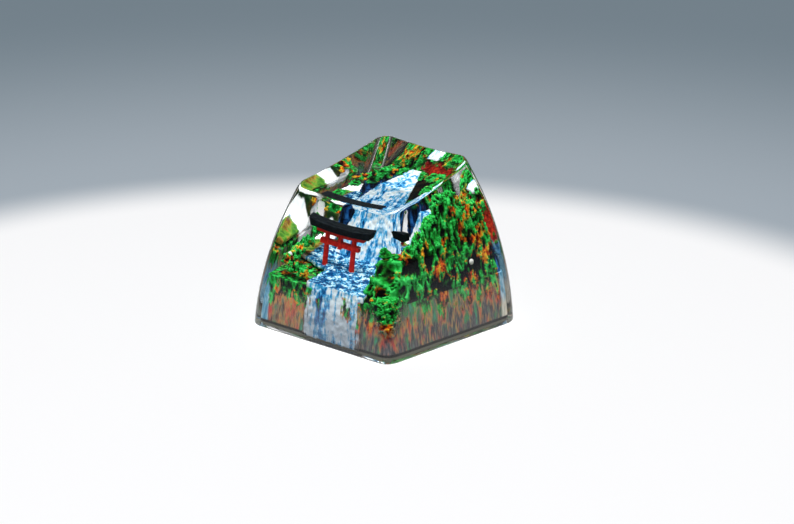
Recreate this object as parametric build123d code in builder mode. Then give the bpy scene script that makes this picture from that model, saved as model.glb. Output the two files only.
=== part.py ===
import os
from math import asin, cos, degrees, radians, sin, tan

from build123d import *

# Clear casting: plan at the foot, bow and lean of the faces, dished top (mm, degrees)
base_width = 18.0
base_depth = 18.0
side_bow_radius = 60.0
side_lean = 4.0
front_bow_radius = 33.0
front_lean = 2.5
rear_bow_radius = 40.0
rear_lean = -1.0
corner_radius = 1.4
dish_radius = 50.0
dish_tilt = 14.0
dish_height = 14.2  # lowest point of the dish above the foot
dish_offset = 0.3  # of that point towards the rear
rim_round = 0.35
foot_round = 0.4

# Dark base casting inside it, with the switch hollow and the stem
skin = 0.9  # clear resin outside the base
cover = 0.9  # clear resin above the scene
base_recess = 0.25  # base held up from the foot
base_height = 4.9
base_corner = 0.6
skirt_wall = 0.5
ceiling = 0.6
stem_diameter = 5.5
stem_recess = 0.3  # stem held up from the foot
cross_length = 4.1
cross_arm_x = 1.3
cross_arm_y = 1.15
cross_depth = 3.7
socket_chamfer = 0.2

# Gorge: rows of tapering crags on a thin ground
ground = 0.25
crag_sides = 7
crag_turn = 2.7  # from corner to corner of a section, in its unevenness
crag_pace = 2.1  # from crag to crag of a row, in its unevenness
crag_rough = 0.16  # of the radius, from corner to corner
crag_taper = 0.55  # of the radius left at the top
crag_wave = 0.3  # unevenness along a row
cliff_count = 4
cliff_radius = 1.7
cliff_height = 12.3  # highest crag of the right-hand cliff
cliff_front = 8.6
cliff_summit = 1.5  # where it is highest, behind the centre
cliff_inset = 1.1
back_count = 3  # crags from the summit to the rear
ledge_count = 5
ledge_inset = 2.3
ledge_drop = 3.4  # from the cliff down to its ledges
boulder_count = 3
boulder_radius = 1.25
boulder_height = 6.3
boulder_top = 7.3
corner_height = 8.4  # crag at the near corner
corner_crag = 1.0  # its radius
corner_inset = 1.6
corner_count = 2
bank_count = 3
bank_radius = 1.5
bank_height = 5.9  # low bank at the front left
bank_foot = 5.5
bank_inset = 1.3
hill_count = 4
hill_height = 6.9  # strip along the left face
hill_end = 0.6
tower_count = 2
tower_radius = 1.7
tower_front = 11.2  # dark crag left of the fall
tower_height = 10.8
tower_drop = 2.2  # down to the crag at its left
tower_reach = 1.9  # out to that crag
shelf_count = 2
shelf_radius = 1.6
shelf_height = 7.1  # ledge at the rear left
ridge_count = 4
ridge_radius = 1.9
ridge_height = 10.6  # ridge behind the spring
ridge_foot = 9.4
ridge_inset = 1.4

# Water: upper stream, fall, pool and the sheet over the front wall
water_depth = 0.35
spring_place = 6.9
spring_height = 9.9
spring_width = 1.4
spring_x = -1.0
lip_place = 2.8
lip_height = 9.3
fall_front = 0.9  # foot of the fall
foot_left = -4.0
foot_right = 2.9
stream_left = -2.5
stream_right = 1.7
pool_left = -7.3
pool_right = 3.6
sheet_left = -2.3
sheet_right = 4.9
sheet_foot = 0.5
side_left = -7.45  # small fall in front of the rear left ledge
side_right = -5.3
side_place = 3.9
side_height = 7.6

# Gate, square to the front
gate_x = -1.45
gate_y = -2.1
post_spacing = 3.4
post_diameter = 0.62
post_taper = 0.08  # thinner at the top, on the diameter
tie_height = 2.25  # underside above the ground
tie_thickness = 0.42
tie_overhang = 0.75
lintel_height = 3.15
lintel_thickness = 0.38
lintel_overhang = 1.3
beam_depth = 0.5
strut_width = 0.4
roof_length = 8.0
roof_thickness = 0.7
roof_depth = 1.15
roof_seat_radius = 38.0
roof_top_radius = 30.0
roof_end_slant = 22.0
roof_edge = 0.15

# Moss tufts and beads
tuft_height = 0.6
tuft_taper = 0.6
tuft_share = 0.9  # of the crag top it covers
tuft_crumb = 0.05  # cut tufts of less volume are left out, mm3
drape_radius = 2.0  # moss hanging over the near corner
drape_tip = 0.6
drape_foot = 2.5
bead_diameter = 0.56
bead_height = 6.75
bead_place = 3.7

stock_height = dish_height + base_depth / 2 * tan(radians(dish_tilt)) + base_depth**2 / (8 * dish_radius)
dish_centre = (
    0,
    dish_offset - dish_radius * sin(radians(dish_tilt)),
    dish_height + dish_radius * cos(radians(dish_tilt)),
)
side_bow = (side_bow_radius, side_lean)
front_bow = (front_bow_radius, front_lean)
rear_bow = (rear_bow_radius, rear_lean)
ground_top = base_height + ground
pool_top = ground_top + water_depth


def bow_angle(bow, inset, z):
    radius, lean = bow
    return degrees(asin((radius * sin(radians(lean)) + z) / (radius - inset)))


def reach(half, bow, inset, z):
    radius, lean = bow
    return half - radius * cos(radians(lean)) + (radius - inset) * cos(radians(bow_angle(bow, inset, z)))


def bowed_outline(half, right_bow, left_bow, inset, bottom, top):
    ends = []
    for bow, mirrored in ((right_bow, False), (left_bow, True)):
        radius, lean = bow
        centre_x = half - radius * cos(radians(lean))
        centre_z = -radius * sin(radians(lean))
        low = bow_angle(bow, inset, bottom)
        high = bow_angle(bow, inset, top)
        if mirrored:
            side = CenterArc((-centre_x, centre_z), radius - inset, 180 - low, low - high)
        else:
            side = CenterArc((centre_x, centre_z), radius - inset, low, high - low)
        ends.append((side @ 0, side @ 1))
    Line(ends[0][1], ends[1][1])
    Line(ends[1][0], ends[0][0])


def bowed_block(inset, bottom, top, corner):
    with BuildPart() as block:
        with BuildSketch(Plane.YZ):
            with BuildLine():
                bowed_outline(base_depth / 2, rear_bow, front_bow, inset, bottom, top)
            make_face()
        extrude(amount=base_width, both=True)
        with BuildSketch(Plane.XZ):
            with BuildLine():
                bowed_outline(base_width / 2, side_bow, side_bow, inset, bottom, top)
            make_face()
        extrude(amount=base_depth, both=True, mode=Mode.INTERSECT)
        upright = block.edges().filter_by(lambda edge: edge.bounding_box().size.Z > (top - bottom) / 2)
        fillet(upright, radius=corner)
    return block.part


# Outer form of the clear casting
outer_block = bowed_block(0, 0, stock_height, corner_radius)
with BuildPart() as outer_form:
    add(outer_block)
    with Locations(dish_centre):
        Sphere(dish_radius, mode=Mode.SUBTRACT)
    fillet(outer_form.faces().filter_by(GeomType.SPHERE).edges(), radius=rim_round)
    fillet(outer_form.faces().sort_by(Axis.Z)[0].edges(), radius=foot_round)

# Room that the scene may fill, a skin inside the faces and a cover below the dish
scene_block = bowed_block(skin, base_height, stock_height, base_corner)
with BuildPart() as scene_room:
    add(scene_block)
    with Locations(dish_centre):
        Sphere(dish_radius + cover, mode=Mode.SUBTRACT)

# Base casting: skirt, ceiling and stem with its cross socket
base_block = bowed_block(skin, base_recess, base_height, base_corner)
hollow_block = bowed_block(skin + skirt_wall, 0, base_height - ceiling, base_corner)
with BuildPart() as base_casting:
    add(base_block)
    add(hollow_block, mode=Mode.SUBTRACT)
    with BuildSketch(Plane.XY.offset(stem_recess)):
        Circle(stem_diameter / 2)
    extrude(amount=base_height - ceiling - stem_recess)
    with BuildSketch(Plane.XY.offset(stem_recess)):
        Rectangle(cross_length, cross_arm_x)
        Rectangle(cross_arm_y, cross_length)
    extrude(amount=cross_depth, mode=Mode.SUBTRACT)
    stem_end = base_casting.faces().filter_by(lambda face: abs(face.center().Z - stem_recess) < 1e-6)
    chamfer(stem_end.wires().sort_by(SortBy.LENGTH)[0].edges(), length=socket_chamfer)

# Gate frame, standing on the ground in the pool
post_top = ground_top + lintel_height
post_end = post_top + lintel_thickness / 2
roof_seat = post_top + lintel_thickness
seat_centre = (gate_x, roof_seat + roof_seat_radius)
gate_plane = Plane.XZ.offset(-gate_y)


def arc_below(centre, radius, half):
    turn = degrees(asin(half / radius))
    return CenterArc(centre, radius, -90 - turn, 2 * turn)


with BuildPart() as gate_frame:
    for side in (-1, 1):
        for z, diameter in ((ground_top, post_diameter), (post_end, post_diameter - post_taper)):
            with BuildSketch(Plane.XY.offset(z)):
                with Locations((gate_x + side * post_spacing / 2, gate_y)):
                    Circle(diameter / 2)
        loft(ruled=True)
    with BuildSketch(gate_plane):
        with Locations((gate_x, ground_top + tie_height + tie_thickness / 2)):
            Rectangle(post_spacing + 2 * tie_overhang, tie_thickness)
        with Locations((gate_x, (ground_top + tie_height + post_top) / 2)):
            Rectangle(strut_width, lintel_height - tie_height + lintel_thickness)
    extrude(amount=beam_depth / 2, both=True)
    with BuildSketch(gate_plane):
        with BuildLine():
            lintel_half = post_spacing / 2 + lintel_overhang
            seat_line = arc_below(seat_centre, roof_seat_radius, lintel_half)
            under_line = arc_below(seat_centre, roof_seat_radius + lintel_thickness, lintel_half)
            Line(seat_line @ 0, under_line @ 0)
            Line(seat_line @ 1, under_line @ 1)
        make_face()
    extrude(amount=beam_depth / 2, both=True)

# Gate roof: bowed slab with slanted ends, thicker towards them
with BuildPart() as gate_roof:
    with BuildSketch(gate_plane):
        with BuildLine():
            roof_foot_half = roof_length / 2 - roof_thickness * tan(radians(roof_end_slant))
            roof_foot = arc_below(seat_centre, roof_seat_radius, roof_foot_half)
            top_centre = (gate_x, roof_seat + roof_thickness + roof_top_radius)
            roof_top = arc_below(top_centre, roof_top_radius, roof_length / 2)
            Line(roof_foot @ 0, roof_top @ 0)
            Line(roof_foot @ 1, roof_top @ 1)
        make_face()
    extrude(amount=roof_depth / 2, both=True)
    chamfer(gate_roof.edges().filter_by(GeomType.CIRCLE).group_by(Axis.Z)[-1], length=roof_edge)

# Places beside the base top, from which the scene is set out
right = reach(base_width / 2, side_bow, skin, base_height)
front = reach(base_depth / 2, front_bow, skin, base_height)
rear = reach(base_depth / 2, rear_bow, skin, base_height)

# Crags: tapering columns of uneven section that follow the lean of the faces
def ring(x, y, radius, turn):
    points = []
    for k in range(crag_sides):
        angle = radians(360 * k / crag_sides) + turn
        length = radius * (1 + crag_rough * sin(crag_turn * k + turn))
        points.append((x + length * cos(angle), y + length * sin(angle)))
    return points


def follow_lean(x, y, z):
    bow, edge = (front_bow, front) if y < 0 else (rear_bow, rear)
    x_share = reach(base_width / 2, side_bow, skin, z) / right
    y_share = reach(base_depth / 2, bow, skin, z) / edge
    return x * x_share, y * y_share


def rectangle_plan(left, right_end, near, far):
    return (left, near), (right_end, near), (right_end, far), (left, far)


def prism(plan, bottom, top):
    with BuildPart() as block:
        with BuildSketch(Plane.XY.offset(bottom)):
            Polygon(*plan, align=None)
        extrude(amount=top - bottom)
    return block.part


def column(bottom, bottom_points, top, top_points):
    with BuildPart() as block:
        for z, points in ((bottom, bottom_points), (top, top_points)):
            with BuildSketch(Plane.XY.offset(z)):
                Polygon(*points, align=None)
        loft(ruled=True)
    return block.part


def crag_row(count, start, end, radius, first_top, last_top):
    row = []
    for k in range(count):
        share = k / (count - 1)
        wave = crag_wave * sin(crag_pace * k + radius)
        x = start[0] + (end[0] - start[0]) * share + wave
        y = start[1] + (end[1] - start[1]) * share
        row.append((x, y, radius, first_top + (last_top - first_top) * share + wave))
    return row


cliff_x = right - cliff_inset
ledge_x = right - ledge_inset
left_x = -right + bank_inset
cliff_start = -front + 2 * corner_inset
cliff_end = rear - ridge_inset
bank_y = -front + bank_inset
summit = (cliff_x, cliff_summit)
behind = (cliff_x, cliff_summit + cliff_radius)
corner = (right - corner_inset, -front + corner_inset)
cliff = crag_row(cliff_count, (cliff_x, cliff_start), summit, cliff_radius, cliff_front, cliff_height)
back = crag_row(back_count, behind, (cliff_x, cliff_end), cliff_radius, cliff_height, ridge_height)
ledges = crag_row(
    ledge_count,
    (ledge_x, cliff_start),
    (ledge_x, cliff_end),
    cliff_radius,
    cliff_front - ledge_drop,
    cliff_height - ledge_drop,
)
boulders = crag_row(
    boulder_count,
    (pool_right + boulder_radius, cliff_start),
    (pool_right + boulder_radius / 2, fall_front - boulder_radius),
    boulder_radius,
    boulder_height,
    boulder_top,
)
near_corner = crag_row(corner_count, corner, (ledge_x, bank_y), corner_crag, corner_height, boulder_height)
bank_end = (sheet_left - bank_inset, bank_y)
bank = crag_row(bank_count, (left_x, bank_y), bank_end, bank_radius, bank_height, bank_foot)
hill = crag_row(
    hill_count, (left_x, hill_end), (left_x, bank_y + bank_radius), bank_radius, hill_height, bank_height
)
tower_x = stream_left - tower_radius * crag_taper
tower_start = (tower_x, lip_place + tower_radius / 2)
tower_end = (tower_x, spring_place - tower_radius)
tower = crag_row(tower_count, tower_start, tower_end, tower_radius, tower_front, tower_height)
flank_radius = tower_radius * crag_taper
flank = [(tower_x - tower_reach, fall_front + flank_radius, flank_radius, tower_front - tower_drop)]
shelf_y = side_place + water_depth + shelf_radius
shelf_end = (side_right, shelf_y)
shelf = crag_row(shelf_count, (left_x, shelf_y), shelf_end, shelf_radius, shelf_height, shelf_height)
ridge_start = (stream_left, cliff_end)
ridge = crag_row(ridge_count, ridge_start, (ledge_x, cliff_end), ridge_radius, ridge_foot, ridge_height)
crags = cliff + back + ledges + boulders + near_corner + bank + hill + tower + flank + shelf + ridge

# Fall, stream above it and side fall, the rock under each, and the open way that the crags leave for them
lip_back = lip_place + water_depth
fall_plan = ((foot_left, fall_front), (foot_right, fall_front), (stream_right, lip_back), (stream_left, lip_back))
fall_room = prism(fall_plan, ground_top, stock_height)
stream_plan = (
    (stream_left, lip_back),
    (stream_right, lip_back),
    (spring_x + spring_width / 2, spring_place),
    (spring_x - spring_width / 2, spring_place),
)


def fall_block(gap):
    foot = rectangle_plan(foot_left + gap, foot_right - gap, fall_front + gap, spring_place)
    lip = rectangle_plan(stream_left + gap, stream_right - gap, lip_place + gap, spring_place)
    return column(ground_top, foot, lip_height - gap, lip)


def along_stream(near_bottom, far_bottom, near_top, far_top):
    with BuildPart() as block:
        with BuildSketch(Plane.YZ):
            Polygon(
                (lip_back, near_bottom),
                (spring_place, far_bottom),
                (spring_place, far_top),
                (lip_back, near_top),
                align=None,
            )
        extrude(amount=base_width, both=True)
        with BuildSketch():
            Polygon(*stream_plan, align=None)
        extrude(amount=stock_height, mode=Mode.INTERSECT)
    return block.part


near_bed = lip_height - water_depth
far_bed = spring_height - water_depth
rock_step = fall_block(water_depth)
stream_bed = along_stream(base_height, base_height, near_bed, far_bed)
upper_stream = along_stream(near_bed, far_bed, lip_height, spring_height)
stream_room = along_stream(near_bed, far_bed, stock_height, stock_height)
with BuildPart() as fall:
    add(fall_block(0))
    add(rock_step, mode=Mode.SUBTRACT)
    add(fall_room, mode=Mode.INTERSECT)
side_back = side_place + water_depth
side_sheet = prism(rectangle_plan(side_left, side_right, side_place, side_back), ground_top, side_height)
with BuildPart() as side_fall:
    add(side_sheet)
    add(scene_room.part, mode=Mode.INTERSECT)
side_step = prism(rectangle_plan(side_left, side_right, side_back, shelf_y), base_height, side_height)

# Gorge: ground, crags, rock under the water
ground_block = bowed_block(skin, base_height, ground_top, base_corner)
crag_blocks = []
tuft_blocks = []
for number, (x, y, radius, top) in enumerate(crags):
    top_place = follow_lean(x, y, top)
    foot_ring = ring(x, y, radius, number)
    top_ring = ring(*top_place, radius * crag_taper, number)
    crag_blocks.append(column(base_height, foot_ring, top, top_ring))
    tuft_radius = radius * crag_taper * tuft_share
    tuft_foot = ring(*top_place, tuft_radius, number)
    tuft_top = ring(*top_place, tuft_radius * tuft_taper, number)
    tuft_blocks.append(column(top, tuft_foot, top + tuft_height, tuft_top))

with BuildPart() as landscape:
    add([ground_block, side_step, *crag_blocks])
    add(scene_room.part, mode=Mode.INTERSECT)
    add([fall_room, stream_room, side_sheet], mode=Mode.SUBTRACT)
    add([rock_step, stream_bed])
    add(gate_frame.part, mode=Mode.SUBTRACT)

# Water: pool round the rocks, the sheet that runs from it over the front wall, and the fall
pool_plan = (
    (sheet_left, -base_depth / 2),
    (sheet_right, -base_depth / 2),
    (sheet_right, gate_y - roof_depth),
    (pool_right, gate_y + roof_depth),
    (pool_right, fall_front + 2 * water_depth),
    (foot_left + 2 * water_depth, fall_front + 2 * water_depth),
    (foot_left + 2 * water_depth, side_back),
    (side_left, side_back),
    (pool_left, gate_y + roof_depth),
    (sheet_left, gate_y - roof_depth),
)
wet_block = bowed_block(skin - water_depth, sheet_foot, pool_top, base_corner)
dry_block = bowed_block(skin, 0, ground_top, base_corner)
with BuildPart() as pool:
    with BuildSketch():
        Polygon(*pool_plan, align=None)
    extrude(amount=pool_top)
    add(wet_block, mode=Mode.INTERSECT)
    add([dry_block, landscape.part, gate_frame.part], mode=Mode.SUBTRACT)
with BuildPart() as stream:
    add([pool.part.solids().sort_by(SortBy.VOLUME)[-1], fall.part, upper_stream, side_fall.part])

# Moss: a tuft on the top of each crag, and a tongue that hangs over the near corner
drape_block = column(
    drape_foot, ring(right, -front, drape_tip, 0), pool_top, ring(right, -front, drape_radius, 0)
)
with BuildPart() as drape:
    add(drape_block)
    add(wet_block, mode=Mode.INTERSECT)
    add([dry_block, landscape.part], mode=Mode.SUBTRACT)
with BuildPart() as tufts:
    add(tuft_blocks)
    add(scene_room.part, mode=Mode.INTERSECT)
    add([landscape.part, stream.part, fall_room, stream_room], mode=Mode.SUBTRACT)
with BuildPart() as moss_clumps:
    add([tuft for tuft in tufts.part.solids() if tuft.volume > tuft_crumb])
    add(drape.part)

# Beads: one on the outer face of the cliff, one on the moss of the bank
bank_x, bank_y, _, bank_crown = bank[0]
bank_top = bank_crown + tuft_height
bead_places = (
    (reach(base_width / 2, side_bow, skin, bead_height), bead_place, bead_height),
    (*follow_lean(bank_x, bank_y, bank_top), bank_top),
)
with BuildPart() as white_beads:
    with Locations(*bead_places):
        Sphere(bead_diameter / 2)
    add([landscape.part, moss_clumps.part], mode=Mode.SUBTRACT)

# Clear casting round everything
cast_in = bowed_block(skin, 0, base_height, base_corner)
scene = (gate_frame, gate_roof, stream, landscape, moss_clumps, white_beads)
with BuildPart() as resin_body:
    add(outer_form.part)
    add([cast_in, *(piece.part for piece in scene)], mode=Mode.SUBTRACT)

os.makedirs("parts", exist_ok=True)
pieces = {
    "resin_body": resin_body,
    "base_casting": base_casting,
    "landscape": landscape,
    "stream": stream,
    "gate_frame": gate_frame,
    "gate_roof": gate_roof,
    "moss_clumps": moss_clumps,
    "white_beads": white_beads,
}
for name, piece in pieces.items():
    piece.part.label = name
    export_step(piece.part, f"parts/{name}.step")
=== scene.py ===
from math import cos, pi, radians, sin

import bmesh
import bpy
import numpy as np
from mathutils import Matrix, Vector, noise


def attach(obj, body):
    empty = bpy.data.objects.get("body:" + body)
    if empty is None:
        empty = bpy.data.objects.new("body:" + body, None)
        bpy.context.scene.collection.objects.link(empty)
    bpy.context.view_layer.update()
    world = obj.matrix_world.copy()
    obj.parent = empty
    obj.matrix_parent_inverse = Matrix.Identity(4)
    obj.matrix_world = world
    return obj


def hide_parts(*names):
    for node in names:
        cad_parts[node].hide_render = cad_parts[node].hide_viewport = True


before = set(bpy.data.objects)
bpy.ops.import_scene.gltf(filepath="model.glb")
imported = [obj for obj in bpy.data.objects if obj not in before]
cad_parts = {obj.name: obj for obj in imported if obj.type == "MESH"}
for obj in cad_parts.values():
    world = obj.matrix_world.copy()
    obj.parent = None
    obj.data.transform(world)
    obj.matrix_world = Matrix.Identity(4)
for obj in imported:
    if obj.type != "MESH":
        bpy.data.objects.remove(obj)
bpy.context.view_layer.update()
mm = 0.001
mean = 0.5  # of a grain
scene = bpy.context.scene
scene.view_settings.view_transform = "Standard"
print("frame loaded,", len(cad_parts), "nodes")


# Shader sockets as values
class Sock:
    def __init__(self, tree, socket=None):
        self.tree = tree
        self.socket = socket

    def node(self, kind, settings=None, inputs=None, output=0):  # any node: its settings, then its sockets
        made = self.tree.nodes.new(kind)
        for key, value in (settings or {}).items():
            if key == "stops":
                ramp = made.color_ramp
                while len(ramp.elements) < len(value):
                    ramp.elements.new(0.5)
                for stop, (position, color) in zip(ramp.elements, value):
                    stop.position = position
                    stop.color = (*color, 1)
            else:
                setattr(made, key, value)
        for key, value in (inputs or {}).items():
            if isinstance(value, Sock):
                self.tree.links.new(value.socket, made.inputs[key])
            else:
                made.inputs[key].default_value = value
        return Sock(self.tree, made.outputs[output]) if len(made.outputs) else made

    def math(self, operation, *values):
        return self.node("ShaderNodeMath", {"operation": operation}, dict(enumerate(values)))

    def __add__(self, other):
        return self.math("ADD", self, other)

    def __sub__(self, other):
        return self.math("SUBTRACT", self, other)

    def __mul__(self, other):
        return self.math("MULTIPLY", self, other)

    def __rmul__(self, other):
        return self.math("MULTIPLY", other, self)

    def ramp(self, stops):  # colours along a value
        return self.node("ShaderNodeValToRGB", {"stops": stops}, {"Fac": self})

    def step(self, low, high):  # soft step from 0 at low to 1 at high
        settings = {"interpolation_type": "SMOOTHSTEP"}
        return self.node("ShaderNodeMapRange", settings, {"Value": self, "From Min": low, "From Max": high})

    def mix(self, under, over):  # two colours, self as the share of the second
        return self.node("ShaderNodeMix", {"data_type": "RGBA"}, {0: self, 6: under, 7: over}, output=2)

    def grain(self, where, size, upright=1.0, detail=3.0, rough=0.55):  # noise with grains of that size in mm
        scale = tuple(stretch / (size * mm) for stretch in (1, 1, upright))
        scaled = self.node("ShaderNodeMapping", None, {"Vector": where, "Scale": scale})
        values = {"Vector": scaled, "Scale": 1.0, "Detail": detail, "Roughness": rough}
        return self.node("ShaderNodeTexNoise", None, values)

    def bump(self, height, strength, depth):
        values = {"Height": height, "Strength": strength, "Distance": depth * mm}
        return self.node("ShaderNodeBump", None, values)


def newFinish(name):
    material = bpy.data.materials.new(name)
    material.use_nodes = True
    material.node_tree.nodes.clear()
    return material, Sock(material.node_tree)


def surface(sock, shader):
    sock.node("ShaderNodeOutputMaterial", None, {"Surface": shader})


def place(sock):  # in metres, from the object's own origin
    return sock.node("ShaderNodeTexCoord", output=3)


def axes(sock, where):
    split = sock.node("ShaderNodeSeparateXYZ", None, {0: where}).socket.node
    return [Sock(sock.tree, socket) for socket in split.outputs]


def attribute(sock, name):
    return sock.node("ShaderNodeAttribute", {"attribute_name": name}, output=2)


def soft(values, low, high):  # soft step from 0 at low to 1 at high, for numbers in mm or a socket in metres
    if isinstance(values, Sock):
        return values.step(low * mm, high * mm)
    t = np.clip((values - low) / (high - low), 0, 1)
    return t * t * (3 - 2 * t)


def zone(spot, edges, stray=0):  # share inside soft edges: axis, start, full, and its part of the stray
    share = 1
    for axis, start, full, *part in edges:
        value = spot["xyz".index(axis)]
        share = share * soft(value + stray * part[0] if part else value, start, full)
    return share


# Resin: the clear casting, from the bow of its faces and its dish (mm, degrees)
resin = {
    "half": 8.997,  # of the foot's width
    "sideBow": (60.0, 4.0),
    "frontBow": (33.0, 2.5),
    "rearBow": (40.0, -1.0),
    "corner": 1.4,
    "leastCorner": 0.4,
    "dishRadius": 50.0,
    "dishTilt": 14.0,
    "dishHeight": 14.2,
    "dishOffset": 0.3,
    "rimRound": 0.35,
    "footRound": 0.4,
    "skin": 0.9,
    "hidden": 0.2,  # how far its inner wall stands inside the base
    "recess": 0.3,
    "hiddenTop": 4.6,
    "cornerSteps": 18,
    "sideSteps": 56,
    "wallRows": 72,
    "dishRows": 52,
    "footRows": 6,
    "rimPasses": 30,
    "focus": (0.0, 0.3, 6.5),
    "farthest": 1.6,  # end of the search, as a share of the way to its target
    "halvings": 40,
    "ior": 1.5,
    "sanded": [("z", 0.05, 0)],  # matt foot
    "sandedColor": (0.13, 0.14, 0.12, 1),
    "shadowColor": (0.97, 0.98, 0.98, 1),
}


def bowReach(bow, z):
    radius, lean = bow
    low = radians(lean)
    return resin["half"] - radius * cos(low) + np.sqrt(radius**2 - (radius * sin(low) + z) ** 2)


def dishCentre():
    tilt = radians(resin["dishTilt"])
    y = resin["dishOffset"] - resin["dishRadius"] * sin(tilt)
    return np.array((0, y, resin["dishHeight"] + resin["dishRadius"] * cos(tilt)))


def dishTop(x, y):
    centre = dishCentre()
    return centre[2] - np.sqrt(resin["dishRadius"] ** 2 - x**2 - (y - centre[1]) ** 2)


def roundMeet(a, b, radius):  # where two faces meet in a rounded edge
    edge = np.hypot(np.maximum(a + radius, 0), np.maximum(b + radius, 0))
    return np.minimum(np.maximum(a, b) + radius, 0) + edge - radius


def resinDepth(p):  # below 0 inside the casting
    x, y, z = p.T
    side = bowReach(resin["sideBow"], z)
    front = -bowReach(resin["frontBow"], z)
    rear = bowReach(resin["rearBow"], z)
    dx = np.abs(x) - side + resin["corner"]
    dy = np.abs(y - (front + rear) / 2) - (rear - front) / 2 + resin["corner"]
    bend = np.hypot(np.maximum(dx, 0), np.maximum(dy, 0))
    wall = bend + np.minimum(np.maximum(dx, dy), 0) - resin["corner"]
    dish = resin["dishRadius"] - np.linalg.norm(p - dishCentre(), axis=1)
    return roundMeet(roundMeet(wall, dish, resin["rimRound"]), -z, resin["footRound"])


def resinStations():  # two corners with their turns, and the share of the way between them
    stations = []
    for corner in range(4):
        for k in range(resin["cornerSteps"]):
            stations.append((corner, corner + k / resin["cornerSteps"], corner, corner + 1, 0))
        for k in range(resin["sideSteps"]):
            stations.append((corner, corner + 1, (corner + 1) % 4, corner + 1, k / resin["sideSteps"]))
    return np.array(stations, float)


def resinOutline(stations, z, inset):
    side = bowReach(resin["sideBow"], z) - inset
    front = -bowReach(resin["frontBow"], z) + inset
    rear = bowReach(resin["rearBow"], z) - inset
    bend = max(resin["corner"] - inset, resin["leastCorner"])

    def cornerPoint(corner, turn):
        right = np.isin(corner, (0, 3))
        back = corner < 2
        x = np.where(right, side - bend, bend - side) + bend * np.cos(turn * pi / 2)
        y = np.where(back, rear - bend, front + bend) + bend * np.sin(turn * pi / 2)
        return x, y

    x0, y0 = cornerPoint(stations[:, 0], stations[:, 1])
    x1, y1 = cornerPoint(stations[:, 2], stations[:, 3])
    share = stations[:, 4]
    return x0 + (x1 - x0) * share, y0 + (y1 - y0) * share


def onSurface(target):  # where the line from the focus through a point leaves the casting
    focus = np.array(resin["focus"])
    ray = target - focus
    low = np.zeros(len(ray))
    high = np.full(len(ray), resin["farthest"])
    for _ in range(resin["halvings"]):
        middle = (low + high) / 2
        inside = resinDepth(focus + ray * middle[:, None]) < 0
        low = np.where(inside, middle, low)
        high = np.where(inside, high, middle)
    return focus + ray * high[:, None]


def resinRows():
    stations = resinStations()
    count = len(stations)

    def ring(z, inset):
        x, y = resinOutline(stations, z, inset)
        return np.stack((x, y, z), 1)

    rim = np.full(count, resin["dishHeight"])
    for _ in range(resin["rimPasses"]):
        rim = dishTop(*resinOutline(stations, rim, 0))
    skin, hidden = resin["skin"], resin["skin"] + resin["hidden"]
    inner = ((resin["hiddenTop"], hidden), (resin["recess"], hidden), (resin["recess"], skin))
    rows = [ring(np.full(count, z), inset) for z, inset in inner]
    for k in range(resin["footRows"]):
        rows.append(onSurface(ring(np.zeros(count), skin * (1 - k / resin["footRows"]))))
    for k in range(resin["wallRows"] + 1):
        rows.append(onSurface(ring(rim * (1 - cos(pi * k / resin["wallRows"])) / 2, 0)))
    x, y = resinOutline(stations, rim, 0)
    for k in range(1, resin["dishRows"]):
        share = cos(pi / 2 * k / resin["dishRows"])
        rows.append(onSurface(np.stack((x * share, y * share, dishTop(x * share, y * share)), 1)))
    return rows


def rowsToMesh(name, rows, bottom, top):  # closed mesh from rings of points, with a fan at each end
    count = len(rows[0])
    points = np.concatenate([*rows, np.array([bottom, top])]) * mm
    faces = []
    for r in range(len(rows) - 1):
        for j in range(count):
            k = (j + 1) % count
            faces.append((r * count + j, r * count + k, (r + 1) * count + k, (r + 1) * count + j))
    low, high = len(points) - 2, len(points) - 1
    last = (len(rows) - 1) * count
    for j in range(count):
        k = (j + 1) % count
        faces.append((k, j, low))
        faces.append((last + j, last + k, high))
    mesh = bpy.data.meshes.new(name)
    mesh.from_pydata([tuple(p) for p in points], [], faces)
    mesh.polygons.foreach_set("use_smooth", [True] * len(mesh.polygons))
    mesh.update()
    return mesh


def addPiece(name, mesh, finish, slot, *nodes):
    mesh.materials.clear()
    mesh.materials.append(finish)
    piece = bpy.data.objects.new(name, mesh)
    scene.collection.objects.link(piece)
    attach(piece, "root")
    if nodes:
        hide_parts(*nodes)
    print(name, len(mesh.polygons), "faces")


def resinFinish():
    material, sock = newFinish("clearResin")
    glass = sock.node("ShaderNodeBsdfPrincipled", None, {
        "Base Color": (1, 1, 1, 1), "Roughness": 0.0, "IOR": resin["ior"], "Transmission Weight": 1.0})
    sanded = sock.node("ShaderNodeBsdfDiffuse", None, {"Color": resin["sandedColor"]})
    foot = zone(axes(sock, place(sock)), resin["sanded"])
    body = sock.node("ShaderNodeMixShader", None, {0: foot, 1: glass, 2: sanded})
    clear = sock.node("ShaderNodeBsdfTransparent", None, {"Color": resin["shadowColor"]})
    shadow = sock.node("ShaderNodeLightPath", output=1)
    surface(sock, sock.node("ShaderNodeMixShader", None, {0: shadow, 1: body, 2: clear}))
    return material


resinEnds = (0, 0, resin["hiddenTop"]), (0, 0, float(dishTop(0.0, 0.0)))
resinMesh = rowsToMesh("clearCasting", resinRows(), *resinEnds)
addPiece("clearCasting", resinMesh, resinFinish(), "clear_resin", "resin_body")


# Copies of the CAD solids as fine even meshes, in mm while they are shaped
copies = {"weld": 1e-4, "skew": 1.7, "fade": 1.0, "finer": 2.0}


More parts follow.
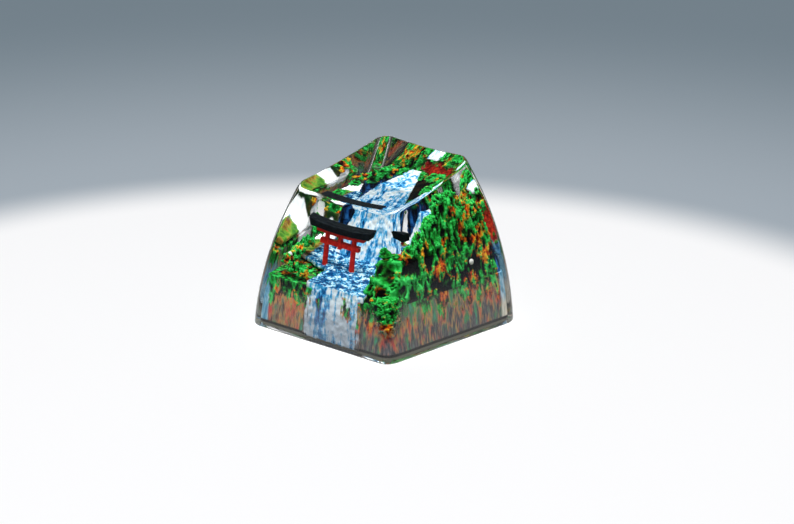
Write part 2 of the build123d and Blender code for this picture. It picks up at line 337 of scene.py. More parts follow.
def fineCopy(node, voxel):
    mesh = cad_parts[node].data.copy()
    mesh.transform(Matrix.Scale(1 / mm, 4))
    work = bmesh.new()
    work.from_mesh(mesh)
    bmesh.ops.remove_doubles(work, verts=work.verts, dist=copies["weld"])
    work.to_mesh(mesh)
    work.free()
    holder = bpy.data.objects.new("holder", mesh)
    scene.collection.objects.link(holder)
    remesh = holder.modifiers.new("fine", "REMESH")
    remesh.mode = "VOXEL"
    remesh.voxel_size = voxel
    fine = bpy.data.meshes.new_from_object(holder.evaluated_get(bpy.context.evaluated_depsgraph_get()))
    bpy.data.objects.remove(holder)
    return fine


def meshArrays(mesh):
    points = np.zeros(len(mesh.vertices) * 3)
    normals = np.zeros(len(mesh.vertices) * 3)
    mesh.vertices.foreach_get("co", points)
    mesh.vertices.foreach_get("normal", normals)
    return points.reshape(-1, 3), normals.reshape(-1, 3)


def setPoints(mesh, points):
    mesh.vertices.foreach_set("co", points.ravel())
    mesh.polygons.foreach_set("use_smooth", [True] * len(mesh.polygons))
    mesh.update()


def setAttributes(mesh, **attributes):
    for name, values in attributes.items():
        made = mesh.attributes.new(name, "FLOAT", "POINT")
        made.data.foreach_set("value", values.astype(np.float32))


def field(points, size, seed, octaves=3):  # smooth noise from -1 to 1, with lumps of that size in mm
    shift = Vector((seed, seed * copies["skew"], -seed))
    layers = copies["fade"], copies["finer"], octaves
    return np.array([noise.fractal(Vector(p) / size + shift, *layers) for p in points])


# Mossy ground: sharp crests with hollows between them; the same field sets the painted shade, dark in the
# hollows and light on the crests
crests = {"steep": 2.1, "octaves": 2, "cellShare": 0.62, "foldShare": 0.38, "foldSeed": 4}


def ridges(points, size, seed):
    return 1 - crests["steep"] * np.abs(field(points, size, seed, crests["octaves"]))


def crestField(points, settings):
    tall = points * (1, 1, settings["upright"])
    cells = ridges(tall, settings["cell"], settings["seed"])
    folds = ridges(tall, settings["fold"], settings["seed"] + crests["foldSeed"])
    return np.clip(crests["cellShare"] * cells + crests["foldShare"] * folds, 0, 1)


# Moss colour: green and autumn patches, with painted shade from the hollows at level 0 to painted highlights
# on the crests at 1
mossLook = {
    "patches": {"size": 1.3, "detail": 2.0},
    "fine": {"size": 0.22, "detail": 3.0},
    "broad": {"size": 0.7, "upright": 0.45, "detail": 2.0},
    "fineShade": 0.55,
    "broadShade": 0.6,
    "nearShade": 0.03,
    "green": ((0.32, (0.002, 0.002, 0.001)), (0.47, (0.005, 0.04, 0.004)), (0.6, (0.008, 0.18, 0.015)),
              (0.74, (0.010, 0.40, 0.045)), (0.93, (0.05, 0.66, 0.13))),
    "warm": ((0.26, (0.004, 0.001, 0.001)), (0.42, (0.13, 0.014, 0.003)), (0.56, (0.56, 0.06, 0.004)),
             (0.72, (0.78, 0.22, 0.008)), (0.95, (0.70, 0.48, 0.03))),
    "warmEdge": (0.55, 0.63),
    "finePick": 0.36,
    "high": [("z", 8, 12)],
    "highPick": 0.07,
    "near": [("x", 4.4, 5.2), ("y", -4.6, -5.4)],  # bush at the near corner
    "nearPick": 0.06,
    "tip": [("z", 4.0, 3.2)],  # of the tongue below the bush
    "tipPick": 0.3,
    "rear": [("x", 4, 5), ("y", 2, 4.5)],
    "rearPick": 0.07,
}


# level is the painted shade: dark in the hollows, painted highlights on the crests
def mossColor(sock, where, level):
    look = mossLook
    spot = axes(sock, where)
    patches, fine, broad = (sock.grain(where, **look[name]) for name in ("patches", "fine", "broad"))
    near = zone(spot, look["near"])
    shade = level + (fine - mean) * look["fineShade"] + (broad - mean) * look["broadShade"]
    shade = shade - near * look["nearShade"]
    pick = patches + (fine - mean) * look["finePick"] - zone(spot, look["high"]) * look["highPick"]
    pick = pick + near * (zone(spot, look["tip"]) * look["tipPick"] - look["nearPick"])
    pick = pick + zone(spot, look["rear"]) * look["rearPick"]
    return pick.step(*look["warmEdge"]).mix(shade.ramp(look["green"]), shade.ramp(look["warm"])), fine


# Base colour: painted drips and streaks on the walls of the base
baseLook = {
    "streaks": {"size": 0.19, "upright": 0.16, "detail": 3.0},
    "blots": {"size": 0.5, "upright": 0.36, "detail": 3.0},
    "hue": {"size": 0.8, "upright": 0.32, "detail": 4.0},
    "cells": {"size": 0.5, "upright": 0.5, "detail": 3.0},
    "warm": [("x", -2.0, -3.0), ("y", -7.0, -7.3)],  # left part of the front wall
    "rise": [("z", 0, 4.9)],
    "warmHue": 0.05,
    "riseHue": 0.09,
    "paint": ((0.36, (0.06, 0.38, 0.26)), (0.43, (0.06, 0.30, 0.07)), (0.48, (0.20, 0.20, 0.17)),
              (0.53, (0.52, 0.34, 0.09)), (0.58, (0.66, 0.20, 0.09)), (0.66, (0.64, 0.08, 0.06))),
    "blotCover": 0.6,
    "streakCover": 0.4,
    "riseCover": 0.16,
    "warmCover": 0.05,
    "coverEdge": (0.47, 0.66),
    "grey": ((0.4, (0.055, 0.055, 0.066)), (0.6, (0.155, 0.15, 0.165))),
    "warmGrey": ((0.4, (0.10, 0.05, 0.03)), (0.6, (0.42, 0.25, 0.16))),
    "warmGreyShare": 0.7,
    "dripHue": 12.0,
    "dripStreak": 5.0,
    "dripEdge": (4.1, 4.9),
    "dripGain": 2.2,
    "dripDrop": 0.5,
    "blotStray": 4,
    "streakStray": 3,
    "leftBlue": [("x", -6.8, -7.1), ("y", -0.6, -2.4, -1), ("z", 4.4, 3.4, 1)],
    "rearBlue": [("x", 2.0, 3.2, 1), ("y", 7.0, 7.3), ("z", 1.8, 3.4, 1)],
    "blue": ((0.38, (0.06, 0.26, 0.45)), (0.5, (0.15, 0.46, 0.66)), (0.64, (0.60, 0.78, 0.86))),
    "rearFoot": [("x", 1.6, 3.2, 1), ("y", 7.0, 7.3), ("z", 3.4, 2.0)],
    "pale": ((0.4, (0.62, 0.57, 0.45)), (0.6, (0.95, 0.91, 0.78))),
    "paleShare": 0.9,
    # painted light: white on top of the left wall, where the bright floor shows through the clear corner
    "spillFloorShine": [("x", -7.2, -7.35), ("y", 2.6, 3.2, 0.3), ("y", 5.8, 5.3, 0.3), ("z", 4.0, 4.3, 0.4)],
    "foam": ((0.36, (0.5, 0.72, 0.86)), (0.48, (0.93, 0.94, 0.95))),
    # painted shade: a black band low on the base wall for the dark line along its bottom edge
    "shadeLine": [("z", 0.78, 0.68)],
    "shadeLineColor": (0.004, 0.004, 0.004, 1),
    "foot": [("z", 0.52, 0.42)],
    "footColor": (0.15, 0.15, 0.11, 1),
}


def baseColor(sock, where):
    look = baseLook
    spot = axes(sock, where)
    streaks, blots, cells = (sock.grain(where, **look[name]) for name in ("streaks", "blots", "cells"))
    warm, rise = zone(spot, look["warm"]), zone(spot, look["rise"])
    hue = sock.grain(where, **look["hue"]) + warm * look["warmHue"] + rise * look["riseHue"]
    cover = blots * look["blotCover"] + streaks * look["streakCover"]
    cover = (cover + rise * look["riseCover"] + warm * look["warmCover"]).step(*look["coverEdge"])
    grey = (warm * look["warmGreyShare"]).mix(streaks.ramp(look["grey"]), streaks.ramp(look["warmGrey"]))
    color = cover.mix(grey, hue.ramp(look["paint"]))
    drips = spot[2] * (1 / mm) + (hue - mean) * look["dripHue"] + (streaks - mean) * look["dripStreak"]
    reaching = mossColor(sock, where, cells * look["dripGain"] - look["dripDrop"])[0]  # moss that runs down
    color = drips.step(*look["dripEdge"]).mix(color, reaching)
    stray = ((blots - mean) * look["blotStray"] + (streaks - mean) * look["streakStray"]) * mm
    leftBlue, rearBlue, rearFoot, spillFloorShine = (
        zone(spot, look[name], stray) for name in ("leftBlue", "rearBlue", "rearFoot", "spillFloorShine"))
    color = (rearFoot * look["paleShare"]).mix(color, streaks.ramp(look["pale"]))
    color = (leftBlue + rearBlue).mix(color, streaks.ramp(look["blue"]))
    color = spillFloorShine.mix(color, streaks.ramp(look["foam"]))
    # painted shade: black band for the dark line along the bottom edge
    color = zone(spot, look["shadeLine"]).mix(color, look["shadeLineColor"])
    return zone(spot, look["foot"]).mix(color, look["footColor"]), streaks


# Tongue: moss over the near corner narrows to a tip, and the rest of it is smeared with base paint
tongue = {"tip": 2.9, "widening": 0.65, "edge": 0.3, "smeared": [("z", 5.4, 5.0)]}


def tongueColor(sock, where, color):
    spot = across, along, height = axes(sock, where)
    beside = sock.math("ABSOLUTE", across + along) - (height - tongue["tip"] * mm) * tongue["widening"]
    smear = soft(beside, 0, tongue["edge"]) * zone(spot, tongue["smeared"])
    return smear.mix(color, baseColor(sock, where)[0])


castGloss = 0.05  # what the resin wraps has hardly any gloss of its own


def castIn(sock, color, roughness, normal, more=None):
    values = {"Base Color": color, "Roughness": roughness, "Specular IOR Level": castGloss, "Normal": normal}
    surface(sock, sock.node("ShaderNodeBsdfPrincipled", None, {**values, **(more or {})}))


# Moss peaks: small upright lumps set on a surface, with painted shade at the foot and a painted highlight at
# the tip
peak = {
    "stray": 0.35, "straySeed": 7, "sizeSeed": 3, "tintSeed": 11, "rings": 1,
    "tipShade": 0.5, "tintShade": 0.25, "shade": 0.3, "roughness": 0.6, "bump": (0.5, 0.06),
}


def peakTree():
    tree = bpy.data.node_groups.new("mossPeaks", "GeometryNodeTree")
    tree.interface.new_socket("Geometry", in_out="INPUT", socket_type="NodeSocketGeometry")
    for name, kind in (("Density", "Float"), ("Spacing", "Float"), ("Small", "Float"), ("Large", "Float"),
                       ("Tall", "Float"), ("Outward", "Float"), ("Seed", "Int"), ("Finish", "Material")):
        tree.interface.new_socket(name, in_out="INPUT", socket_type="NodeSocket" + kind)
    tree.interface.new_socket("Geometry", in_out="OUTPUT", socket_type="NodeSocketGeometry")
    sock = Sock(tree)
    given = tree.nodes.new("NodeGroupInput")
    value = {name: Sock(tree, given.outputs[name]) for name in given.outputs.keys() if name}
    cover = sock.node("GeometryNodeInputNamedAttribute", None, {"Name": "moss"})
    spread = sock.node("GeometryNodeDistributePointsOnFaces", {"distribute_method": "POISSON"}, {
        "Mesh": value["Geometry"], "Distance Min": value["Spacing"], "Density Max": value["Density"],
        "Density Factor": cover, "Seed": value["Seed"]})
    normal = Sock(tree, spread.socket.node.outputs["Normal"])
    outward = sock.node("ShaderNodeCombineXYZ", None, {k: value["Outward"] for k in range(3)})
    lean = sock.node("ShaderNodeVectorMath", {"operation": "MULTIPLY_ADD"}, {
        0: normal, 1: outward, 2: (0, 0, 1)})
    stray = sock.node("FunctionNodeRandomValue", {"data_type": "FLOAT_VECTOR"}, {
        0: (-peak["stray"],) * 3, 1: (peak["stray"],) * 3, "Seed": peak["straySeed"]})
    aim = sock.node("ShaderNodeVectorMath", {"operation": "ADD"}, {0: lean, 1: stray})
    upright = sock.node("FunctionNodeAlignRotationToVector", {"axis": "Z"}, {"Vector": aim})
    lump = sock.node("GeometryNodeMeshIcoSphere", None, {"Radius": 1.0, "Subdivisions": peak["rings"]})
    height = sock.node("ShaderNodeSeparateXYZ", None, {0: sock.node("GeometryNodeInputPosition")}, output=2)
    named = sock.node("GeometryNodeStoreNamedAttribute", {"data_type": "FLOAT", "domain": "POINT"}, {
        "Geometry": lump, "Name": "tip", "Value": height * 0.5 + 0.5})
    size = sock.node("FunctionNodeRandomValue", {"data_type": "FLOAT"}, {
        2: value["Small"], 3: value["Large"], "Seed": peak["sizeSeed"]}, output=1)
    scale = sock.node("ShaderNodeCombineXYZ", None, {0: size, 1: size, 2: size * value["Tall"]})
    peaks = sock.node("GeometryNodeInstanceOnPoints", None, {
        "Points": spread, "Instance": named, "Rotation": upright, "Scale": scale})
    tint = sock.node("FunctionNodeRandomValue", {"data_type": "FLOAT"}, {
        2: 0.0, 3: 1.0, "Seed": peak["tintSeed"]}, output=1)
    tinted = sock.node("GeometryNodeStoreNamedAttribute", {"data_type": "FLOAT", "domain": "INSTANCE"}, {
        "Geometry": peaks, "Name": "tint", "Value": tint})
    real = sock.node("GeometryNodeRealizeInstances", None, {"Geometry": tinted})
    painted = sock.node("GeometryNodeSetMaterial", None, {"Geometry": real, "Material": value["Finish"]})
    sock.node("NodeGroupOutput", None, {"Geometry": painted})
    return tree


def grow(mesh, finish, settings):  # peaks over a mesh in metres, where its moss attribute allows
    holder = bpy.data.objects.new("holder", mesh)
    scene.collection.objects.link(holder)
    modifier = holder.modifiers.new("peaks", "NODES")
    modifier.node_group = peakNodes
    values = {"Density": settings["density"] / mm**2, "Spacing": settings["spacing"] * mm,
              "Small": settings["small"] * mm, "Large": settings["large"] * mm, "Tall": settings["tall"],
              "Outward": settings["outward"], "Seed": settings["seed"], "Finish": finish}
    for item in peakNodes.interface.items_tree:
        if item.in_out == "INPUT" and item.name in values:
            modifier[item.identifier] = values[item.name]
    grown = bpy.data.meshes.new_from_object(holder.evaluated_get(bpy.context.evaluated_depsgraph_get()))
    holder.modifiers.remove(modifier)
    bpy.data.objects.remove(holder)
    grown.polygons.foreach_set("use_smooth", [True] * len(grown.polygons))
    return grown


def peakFinish():
    material, sock = newFinish("mossPeak")
    where = place(sock)
    # painted shade at the foot of each peak and a painted highlight at its tip, from its tip attribute
    level = attribute(sock, "tip") * peak["tipShade"] + attribute(sock, "tint") * peak["tintShade"]
    color, fine = mossColor(sock, where, level + peak["shade"])
    castIn(sock, tongueColor(sock, where, color), peak["roughness"], sock.bump(fine, *peak["bump"]))
    return material


peakNodes = peakTree()
mossPeak = peakFinish()
print("moss peaks ready")

# Rock of the gorge, with the places that moss covers
rock = {
    "voxel": 0.1,
    "lump": (1.5, 3.0),  # size and seed
    "lumpDepth": 0.25,
    "grit": (0.4, 8.0),
    "gritDepth": 0.14,
    "crests": {"cell": 1.15, "fold": 0.42, "upright": 0.36, "seed": 2.0},
    "crestDepth": 0.55,
    "crestMiddle": 0.55,
    "stray": (0.7, 9.0),
    "strayUpright": 0.5,
    "strayReach": 1.6,
    "peaks": {"density": 9.0, "spacing": 0.18, "small": 0.05, "large": 0.13, "tall": 1.8, "outward": 0.8,
              "seed": 4},
    "moss": {
        "cliff": [("x", 2.4, 3.2)],
        "nearCorner": [("x", 1.4, 2.4), ("y", -4.0, -4.8)],
        "leftBank": [("x", -2.0, -2.8), ("y", 1.6, 0.6)],
        "leftLedge": [("x", -4.0, -4.6), ("y", 1.0, 1.6)],
        "ridge": [("y", 5.4, 6.0)],
        "towerTop": [("z", 9.4, 10.2), ("x", -1.6, -2.2)],
    },
    "bare": {
        "rearCorner": [("x", 5.2, 6.0), ("y", 7.0, 7.3)],
        "rearFace": [("y", 6.9, 7.2), ("x", -2.4, -1.6, 1), ("x", 3.6, 2.8, -1), ("z", 5.6, 6.2, 0.6)],
        "rearBlue": [("y", 6.9, 7.2), ("x", 2.0, 2.6, 1), ("x", 4.2, 3.4, -1), ("z", 6.2, 5.6, -0.6)],
        # painted light: white on the rock, where the bright floor shows through the clear corner
        "sprayFloorShine": [("x", -6.9, -7.2), ("y", 3.8, 4.2), ("y", 5.6, 5.2, -0.5), ("z", 7.3, 7.0, -0.6)],
    },
    "free": [("z", 5.0, 5.4)],  # the ground's foot stays put
    "flank": [("x", -2.9, -3.4), ("x", -5.2, -4.6), ("y", 1.2, 1.8), ("y", 4.4, 3.8), ("z", 6.6, 7.2)],
    "flankShift": (-0.5, 0, 0),  # of the tower's left side
    "crestGain": 0.92,
    "crestLift": 0.1,
    "lush": [("x", 1.5, 2.5), ("y", -4.2, -5.0)],  # near corner
    "lushLift": 0.1,
    "gap": [("x", 6.0, 6.4), ("y", -3.0, -3.5), ("y", -6.0, -5.5), ("z", 7.6, 7.1)],  # beside the bush
    "gapLift": 0.24,
    "lowCliff": [("x", 4.0, 5.0), ("z", 7.6, 6.2)],
    "lowMiddle": 0.66,
    "lowContrast": 0.4,
    "peakCrest": (0.5, 0.75),
    "peakSlope": (-0.6, -0.2),
    "wash": [("x", -0.5, -2.0), ("x", -4.6, -3.6)],
    "rustTop": [("z", 7.4, 8.0)],
    "patches": {"size": 1.1},
    "flecks": {"size": 0.3, "detail": 4.0},
    "streaks": {"size": 0.4, "upright": 0.2, "detail": 3.0},
    "dark": ((0.35, (0.002, 0.003, 0.003)), (0.5, (0.012, 0.012, 0.006)), (0.66, (0.05, 0.022, 0.005))),
    "navy": ((0.42, (0.002, 0.004, 0.010)), (0.54, (0.006, 0.03, 0.10)), (0.64, (0.02, 0.16, 0.50))),
    "layers": {
        "rust": ((0.4, (0.42, 0.02, 0.012)), (0.6, (0.88, 0.06, 0.02))),
        "blue": ((0.4, (0.03, 0.22, 0.52)), (0.6, (0.25, 0.58, 0.82))),
        # white of the painted light where the floor shows through
        "foam": ((0.36, (0.5, 0.72, 0.86)), (0.48, (0.95, 0.96, 0.97))),
    },
    "roughness": 0.7,
    "bump": (0.6, 0.08),
}
rockMesh = fineCopy("landscape", rock["voxel"])
rockPoints, rockNormals = meshArrays(rockMesh)
rockSpot = rockPoints.T
rockStray = field(rockPoints * (1, 1, rock["strayUpright"]), *rock["stray"]) * rock["strayReach"]
bare = {name: zone(rockSpot, edges, rockStray) for name, edges in rock["bare"].items()}
mossCover = np.max([zone(rockSpot, edges) for edges in rock["moss"].values()], axis=0)
for share in bare.values():
    mossCover = mossCover * (1 - share)
rockCrest = crestField(rockPoints, rock["crests"])
rockShift = field(rockPoints, *rock["lump"]) * rock["lumpDepth"]
rockShift += (1 - mossCover) * field(rockPoints, *rock["grit"]) * rock["gritDepth"]
rockShift += mossCover * (rockCrest - rock["crestMiddle"]) * rock["crestDepth"]
rockMoved = rockPoints + rockNormals * (rockShift * zone(rockSpot, rock["free"]))[:, None]
setPoints(rockMesh, rockMoved + np.outer(zone(rockSpot, rock["flank"]), rock["flankShift"]))
# painted shade level for the rock's moss colour: dark in the hollows, lighter on the crests, lifted or given
# more contrast in a few zones
lush = zone(rockSpot, rock["lush"]) * rock["lushLift"]
gap = zone(rockSpot, rock["gap"]) * rock["gapLift"]
lowCliff = zone(rockSpot, rock["lowCliff"]) * (rockCrest - rock["lowMiddle"]) * rock["lowContrast"]
rockShadeLevel = rockCrest * rock["crestGain"] + rock["crestLift"] + lush + gap + lowCliff
setAttributes(
    rockMesh,
    crest=np.clip(rockShadeLevel, 0, 1),
    cover=mossCover,
    moss=mossCover * soft(rockCrest, *rock["peakCrest"]) * soft(rockNormals[:, 2], *rock["peakSlope"]),
    wash=np.maximum(zone(rockSpot, rock["wash"]), bare["rearCorner"]),
    blue=bare["rearBlue"],
    foam=bare["sprayFloorShine"],
    rust=np.maximum(bare["rearCorner"] * zone(rockSpot, rock["rustTop"]), bare["rearFace"]),
)


def rockFinish():
    material, sock = newFinish("darkRock")
    where = place(sock)
    patches, flecks, streaks = (sock.grain(where, **rock[name]) for name in ("patches", "flecks", "streaks"))
    color = attribute(sock, "wash").mix(patches.ramp(rock["dark"]), streaks.ramp(rock["navy"]))
    color = attribute(sock, "cover").mix(color, mossColor(sock, where, attribute(sock, "crest"))[0])
    for name, stops in rock["layers"].items():
        color = attribute(sock, name).mix(color, streaks.ramp(stops))
    castIn(sock, color, rock["roughness"], sock.bump(flecks, *rock["bump"]))
    return material


rockMesh.transform(Matrix.Scale(mm, 4))
addPiece("cliffPeaks", grow(rockMesh, mossPeak, rock["peaks"]), mossPeak, "moss")
addPiece("gorgeRock", rockMesh, rockFinish(), "rock", "landscape")

# Water: stream, falls, pool and the sheet down the front wall
water = {
    "voxel": 0.11,
    "ripple": (0.5, 5.0),  # size and seed
    "rippleDepth": 0.1,
    "sideFall": [("x", -5.2, -5.4), ("y", 3.3, 3.6), ("z", 5.55, 5.7)],
    "poolArm": [("x", -5.7, -6.0), ("y", -1.8, -1.2), ("z", 5.8, 5.65)],
    "edgeFloorShine": [("x", -5.3, -5.5), ("y", 3.2, 3.4), ("z", 5.8, 5.65)],
    "floorShineTop": 7.25,  # of the side fall's white, painted as foam where the bright floor shows through the clear corner: painted light; lower towards the left face and the rock
    "floorShineSlope": 0.85,
    "slopeStart": -6.2,
    "byRock": [("x", -6.1, -5.8)],
    "byRockDrop": 0.3,
    "floorShineSoft": 0.15,
    "poolFloorShine": (2.8, 3.1),
    "byFace": [("x", -6.8, -7.2)],
    "byFaceReach": 0.4,
    "sheet": (-2.0, 4.8),
    "isle": (2.65, 3.7),  # bare patch in the sheet
    "isleSize": (0.8, 2.5),
    "isleGain": 0.9,
    "isleDrop": 0.45,
    "wall": [("z", 5.1, 4.9), ("y", -6.5, -7.0)],
    "flat": (0.6, 0.9),
    "poolTop": [("z", 6.0, 5.7)],
    "low": [("z", 4.9, 1.5)],
    "streaks": {"size": 0.36, "upright": 0.16, "detail": 4.0},
    "patches": {"size": 1.5, "upright": 0.6},
    "speck": {"size": 0.2, "detail": 2.0},
    "swirl": {"size": 0.8, "detail": 3.0},
    "runningMix": {"streaks": 0.6, "patches": 0.55, "speck": 0.15},
    "runningDrop": 0.13,
    "running": ((0.36, (0.004, 0.035, 0.12)), (0.42, (0.008, 0.19, 0.53)), (0.48, (0.09, 0.50, 0.84)),
                (0.55, (0.84, 0.93, 0.97))),
    "stillMix": {"speck": 0.9, "swirl": 1.6, "patches": 0.5},
    "stillDrop": 1.1,
    "still": ((0.32, (0.004, 0.05, 0.17)), (0.41, (0.008, 0.20, 0.50)), (0.50, (0.03, 0.44, 0.72)),
              (0.62, (0.72, 0.90, 0.96))),
    "lowShare": 0.55,
    "lowColor": (0.10, 0.17, 0.27, 1),
    "patchStray": 4.0,
    "streakStray": 3.0,
    "raggedEdge": (0.5, 0.1),
    "olive": ((0.40, (0.04, 0.20, 0.02)), (0.48, (0.16, 0.38, 0.04)), (0.54, (0.42, 0.28, 0.04)),
              (0.62, (0.17, 0.07, 0.015))),
    "shadeShare": 0.85,
    "shadeColor": (0.004, 0.02, 0.008, 1),
    "foam": ((0.36, (0.62, 0.80, 0.90)), (0.46, (0.95, 0.96, 0.97))),
    # glow of that painted light
    "floorShineGlow": 0.55,
    "roughness": 0.35,
    "bump": (0.5, 0.08),
}
waterMesh = fineCopy("stream", water["voxel"])
waterPoints, waterNormals = meshArrays(waterMesh)
waterRipple = field(waterPoints, *water["ripple"])
setPoints(waterMesh, waterPoints + waterNormals * (waterRipple * water["rippleDepth"])[:, None])
waterSpot = x, y, z = waterPoints.T
# painted light: white painted as foam on the side fall, pool and edge, where the bright floor shows through
# the clear corner
sideFall, poolArm, edgeFloorShine = (zone(waterSpot, water[name]) for name in ("sideFall", "poolArm", "edgeFloorShine"))
floorShineTop = water["floorShineTop"] - water["floorShineSlope"] * np.maximum(water["slopeStart"] - x, 0)
floorShineTop = floorShineTop - water["byRockDrop"] * zone(waterSpot, water["byRock"])
fallFloorShine = sideFall * soft(floorShineTop - z, 0, water["floorShineSoft"])
poolFloorShinePart = poolArm * soft(y + water["byFaceReach"] * zone(waterSpot, water["byFace"]), *water["poolFloorShine"])
sheetEdge = np.minimum(x - water["sheet"][0], water["sheet"][1] - x)
isleAway = [(value - middle) / size for value, middle, size in zip((x, z), water["isle"], water["isleSize"])]
isleEdge = np.hypot(*isleAway) * water["isleGain"] - water["isleDrop"]
setAttributes(
    waterMesh,
    foam=np.max((fallFloorShine, poolFloorShinePart, edgeFloorShine), axis=0),
    bank=np.maximum(sideFall, poolArm),
    shade=sideFall,
    edge=np.minimum(sheetEdge, isleEdge),
    wall=zone(waterSpot, water["wall"]),
    calm=soft(waterNormals[:, 2], *water["flat"]) * zone(waterSpot, water["poolTop"]),
    low=zone(waterSpot, water["low"]),
)


def waterFinish():
    material, sock = newFinish("fallingWater")
    where = place(sock)
    grains = {name: sock.grain(where, **water[name]) for name in ("streaks", "patches", "speck", "swirl")}
    streaks, patches = grains["streaks"], grains["patches"]

    def blend(weights):
        first, *others = (grains[name] * weight for name, weight in weights.items())
        return sum(others, first)

    running = (blend(water["runningMix"]) - water["runningDrop"]).ramp(water["running"])
    still = (blend(water["stillMix"]) - water["stillDrop"]).ramp(water["still"])
    color = attribute(sock, "calm").mix(running, still)
    color = (attribute(sock, "low") * water["lowShare"]).mix(color, water["lowColor"])
    edge = attribute(sock, "edge") + (patches - mean) * water["patchStray"]
    ragged = (edge + (streaks - mean) * water["streakStray"]).step(*water["raggedEdge"])
    color = (ragged * attribute(sock, "wall")).mix(color, baseColor(sock, where)[0])
    color = attribute(sock, "bank").mix(color, patches.ramp(water["olive"]))
    color = (attribute(sock, "shade") * water["shadeShare"]).mix(color, water["shadeColor"])
    # painted light: white where the bright floor shows through the clear corner
    color = attribute(sock, "foam").mix(color, streaks.ramp(water["foam"]))
    # painted light: the white where the floor shows through also glows, though it is no lamp
    paintedGlow = attribute(sock, "foam").mix((0, 0, 0, 1), (1, 1, 1, 1))
    castIn(sock, color, water["roughness"], sock.bump(streaks, *water["bump"]), {
        "Emission Color": paintedGlow, "Emission Strength": water["floorShineGlow"]})
    return material


waterMesh.transform(Matrix.Scale(mm, 4))
addPiece("runningWater", waterMesh, waterFinish(), "water", "stream")

# Moss tufts on the crags and over the near corner
moss = {
    "voxel": 0.09,
    "lump": (0.9, 2.0),  # size and seed
    "lumpDepth": 0.15,
    "crests": {"cell": 0.7, "fold": 0.3, "upright": 0.8, "seed": 6.0},
    "crestDepth": 0.4,
    "crestMiddle": 0.5,
    "peaks": {"density": 22.0, "spacing": 0.14, "small": 0.06, "large": 0.14, "tall": 1.5, "outward": 0.9,
              "seed": 6},
    "peakCrest": (0.4, 0.7),
    "summit": (5.35, -5.55),  # top of the bush
    "summitSpread": 0.16,
    "summitFoot": [("z", 8.8, 9.2)],
    "summitRise": (0, 0, 0.8),
    "crestShade": 0.75,
    "shade": 0.3,
    "roughness": 0.7,
    "bump": (0.6, 0.08),
}
mossMesh = fineCopy("moss_clumps", moss["voxel"])
mossPoints, mossNormals = meshArrays(mossMesh)
mossSpot = x, y, z = mossPoints.T
mossCrest = crestField(mossPoints, moss["crests"])
mossShift = field(mossPoints, *moss["lump"]) * moss["lumpDepth"]
mossShift += (mossCrest - moss["crestMiddle"]) * moss["crestDepth"]
summitAway = (x - moss["summit"][0]) ** 2 + (y - moss["summit"][1]) ** 2
summit = np.exp(-summitAway / moss["summitSpread"]) * zone(mossSpot, moss["summitFoot"])
mossMoved = mossPoints + mossNormals * mossShift[:, None]
setPoints(mossMesh, mossMoved + np.outer(summit, moss["summitRise"]))
# the crest field also sets the tufts' painted shade level
setAttributes(mossMesh, crest=mossCrest, moss=soft(mossCrest, *moss["peakCrest"]))


def mossFinish():
    material, sock = newFinish("greenMoss")
    where = place(sock)
    color, fine = mossColor(sock, where, attribute(sock, "crest") * moss["crestShade"] + moss["shade"])
    castIn(sock, tongueColor(sock, where, color), moss["roughness"], sock.bump(fine, *moss["bump"]))
    return material


mossMesh.transform(Matrix.Scale(mm, 4))
addPiece("tuftPeaks", grow(mossMesh, mossPeak, moss["peaks"]), mossPeak, "moss")
addPiece("mossTufts", mossMesh, mossFinish(), "moss", "moss_clumps")

# Paint of the gate, the beads and the base
paint = {
    "wear": {"size": 0.4, "detail": 4.0},
    "wearEdge": (0.4, 0.65),
    "bump": (0.2, 0.03),
    "coats": {  # name, light and dark colour, roughness
        "gate_frame": ("redPaint", (0.96, 0.03, 0.018, 1), (0.74, 0.016, 0.012, 1), 0.4),
        "gate_roof": ("blackPaint", (0.009, 0.013, 0.016, 1), (0.004, 0.006, 0.008, 1), 0.6),
        "white_beads": ("whiteBead", (0.9, 0.9, 0.88, 1), (0.8, 0.8, 0.78, 1), 0.3),
    },
}
base = {
    "inside": (7.2, 7.0),
    "ceiling": [("z", 4.7, 4.5)],
    "plainGrain": {"size": 0.5},
    "plain": ((0.4, (0.012, 0.012, 0.013)), (0.6, (0.022, 0.022, 0.024))),
    "roughness": 0.6,
    "bump": (0.3, 0.05),
}


def paintFinish(name, light, dark, roughness):
    material, sock = newFinish(name)
    wear = sock.grain(place(sock), **paint["wear"])
    castIn(sock, wear.step(*paint["wearEdge"]).mix(dark, light), roughness, sock.bump(wear, *paint["bump"]))
    return material


def baseFinish():
    material, sock = newFinish("streakedBase")
    where = place(sock)
    color, streaks = baseColor(sock, where)
    spot = across, along, height = axes(sock, where)
    reach = sock.math("MAXIMUM", sock.math("ABSOLUTE", across), sock.math("ABSOLUTE", along))
    hollow = soft(reach, *base["inside"]) * zone(spot, base["ceiling"])  # plain where the switch goes
    plain = sock.grain(where, **base["plainGrain"]).ramp(base["plain"])
    castIn(sock, hollow.mix(color, plain), base["roughness"], sock.bump(streaks, *base["bump"]))
    return material


carried = {node: paintFinish(*coat) for node, coat in paint["coats"].items()}
carried["base_casting"] = baseFinish()
for node, finish in carried.items():
    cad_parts[node].data.materials.clear()
    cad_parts[node].data.materials.append(finish)
print("finishes set on", ", ".join(carried))

# Floor, with a painted pool of light round the keycap, greyer and darker further out
floor = {
    "size": 900.0,
    "below": 0.01,
    "paintedPoolCentre": (7.1, -15.2, 0),
    "paintedPoolRadius": 59.0,
    "paintedPoolEdge": 6.0,
    "far": 130.0,
    "paintedPoolColor": (0.93, 0.93, 0.94, 1),
    "nearColor": (0.36, 0.41, 0.46, 1),
    "farColor": (0.19, 0.24, 0.28, 1),
}


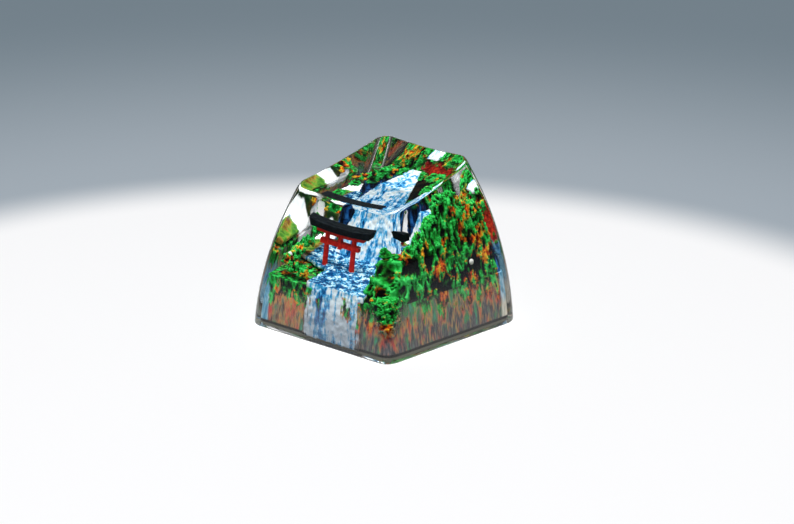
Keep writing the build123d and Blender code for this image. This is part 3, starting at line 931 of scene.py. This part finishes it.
def floorFinish():
    material, sock = newFinish("paleFloor")
    centre = tuple(value * mm for value in floor["paintedPoolCentre"])
    centred = sock.node("ShaderNodeVectorMath", {"operation": "SUBTRACT"}, {0: place(sock), 1: centre})
    away = sock.node("ShaderNodeVectorMath", {"operation": "LENGTH"}, {0: centred}, output=1)
    outside = soft(away, floor["paintedPoolRadius"] - floor["paintedPoolEdge"], floor["paintedPoolRadius"] + floor["paintedPoolEdge"])
    grey = soft(away, floor["paintedPoolRadius"], floor["far"]).mix(floor["nearColor"], floor["farColor"])
    # painted pool of light, fading to darker grey further out
    color = outside.mix(floor["paintedPoolColor"], grey)
    surface(sock, sock.node("ShaderNodeBsdfDiffuse", None, {"Color": color}))
    return material


side = floor["size"] / 2 * mm
floorMesh = bpy.data.meshes.new("floor")
floorCorners = [(-side, -side, 0), (side, -side, 0), (side, side, 0), (-side, side, 0)]
floorMesh.from_pydata(floorCorners, [], [(0, 1, 2, 3)])
floorMesh.materials.append(floorFinish())
floorMesh.transform(Matrix.Translation((0, 0, -floor["below"] * mm)))
floorPiece = bpy.data.objects.new("floor", floorMesh)
scene.collection.objects.link(floorPiece)
print("floor laid")

# Light: one broad lamp above and a faint sky
light = {"place": (60, -80, 600), "size": 420.0, "power": 4.1, "sky": (0.9, 0.95, 1, 1), "skyStrength": 0.05}
lamp = bpy.data.lights.new("above", "AREA")
lamp.shape = "DISK"
lamp.size = light["size"] * mm
lamp.energy = light["power"]
lampHolder = bpy.data.objects.new("above", lamp)
lampHolder.location = Vector(light["place"]) * mm
lampHolder.rotation_euler = (-lampHolder.location).to_track_quat("-Z", "Y").to_euler()
scene.collection.objects.link(lampHolder)
world = bpy.data.worlds.new("studio")
world.use_nodes = True
world.node_tree.nodes.clear()
worldSock = Sock(world.node_tree)
sky = worldSock.node("ShaderNodeBackground", None, {"Color": light["sky"], "Strength": light["skyStrength"]})
worldSock.node("ShaderNodeOutputWorld", None, {"Surface": sky})
scene.world = world
print("light set")

# Camera
camera = {
    "azimuth": 43.2,
    "elevation": 18.2,
    "distance": 440.0,  # from the aim, mm
    "aim": (0.0, 0.0, 7.0),
    "pixelsPerMm": 10.72,  # at the aim
    "aimPixel": (383.9, 251.5),
    "image": (794, 524),
    "sensor": 36.0,
    "nearest": 10.0,
}
turn, rise = radians(camera["azimuth"]), radians(camera["elevation"])
back = Vector((sin(turn) * cos(rise), -cos(turn) * cos(rise), sin(rise)))
right = Vector((cos(turn), sin(turn), 0))
up = back.cross(right)
aside, above = ((size / 2 - pixel) / camera["pixelsPerMm"]
                for size, pixel in zip(camera["image"], camera["aimPixel"]))
centre = Vector(camera["aim"]) + right * aside - up * above
eye = Vector(camera["aim"]) + back * camera["distance"]
lens = bpy.data.cameras.new("camera")
lens.sensor_width = camera["sensor"]
lens.lens = camera["sensor"] * camera["distance"] * camera["pixelsPerMm"] / camera["image"][0]
lens.clip_start = camera["nearest"] * mm
viewer = bpy.data.objects.new("camera", lens)
viewer.location = eye * mm
viewer.rotation_euler = (centre - eye).to_track_quat("-Z", "Y").to_euler()
scene.collection.objects.link(viewer)
scene.camera = viewer
print("camera set")
